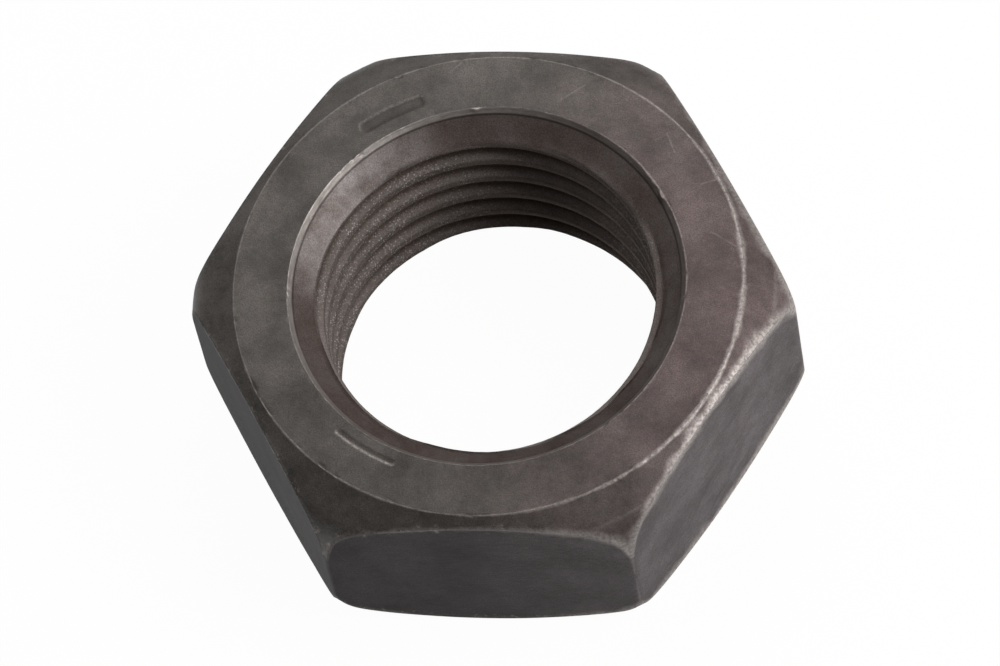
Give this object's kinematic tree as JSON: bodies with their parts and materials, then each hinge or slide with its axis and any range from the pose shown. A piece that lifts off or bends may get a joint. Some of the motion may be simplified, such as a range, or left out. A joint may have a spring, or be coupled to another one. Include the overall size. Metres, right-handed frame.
{
  "type": "hex nut",
  "caption": "Thin hexagon nut of dark steel with a coarse right-hand thread, chamfered faces and countersunk mouths; screws onto a bolt or stud and is turned by its flats.",
  "frame": {"origin": "on the thread axis, in the lower bearing face", "axes": "+Z along the thread axis to the marked upper face; +X towards one corner of the hexagon, so that two wrench flats face -Y and +Y"},
  "size_m": [0.092, 0.08, 0.034],
  "materials": {
    "blackened_steel": "satin"
  },
  "bodies": {
    "root": {"hex_nut": "blackened_steel"}
  },
  "joints": []
}
